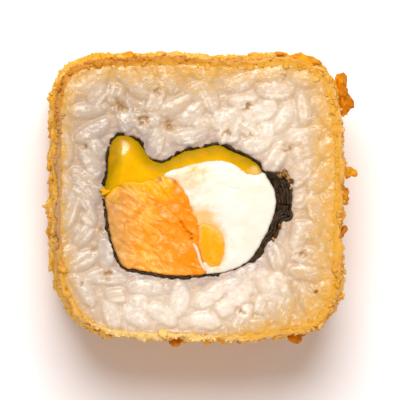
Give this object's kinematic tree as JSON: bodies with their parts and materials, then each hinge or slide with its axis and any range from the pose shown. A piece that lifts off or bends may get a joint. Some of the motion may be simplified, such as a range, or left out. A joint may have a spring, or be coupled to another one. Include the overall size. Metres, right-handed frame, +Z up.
{
  "type": "fried sushi roll",
  "caption": "Slice of fried sushi roll: crumb-crusted rice round a nori-wrapped filling of salmon, cream cheese and melted yellow cheese.",
  "frame": {"origin": "middle of the lower cut face, on the surface that the slice stands on", "axes": "+Z up along the roll's own axis, +Y away from the salmon towards the melted cheese, +X towards the cream cheese"},
  "size_m": [0.0449, 0.0436, 0.0265],
  "materials": {
    "crusted_rice": "cooked cream-white rice with a golden fried crumb crust, matte with small moist highlights",
    "nori": "black-brown seaweed sheet, damp and slightly glossy",
    "salmon": "cooked orange salmon with paler fibres, moist",
    "cream_cheese": "smooth off-white cream cheese, softly glossy",
    "melted_cheese": "melted yellow cheese, smooth and glossy"
  },
  "bodies": {
    "root": {"crusted_rice": "crusted_rice", "nori": "nori", "salmon": "salmon", "cream_cheese": "cream_cheese", "melted_cheese": "melted_cheese", "melted_cheese_dab": "melted_cheese"}
  },
  "joints": []
}
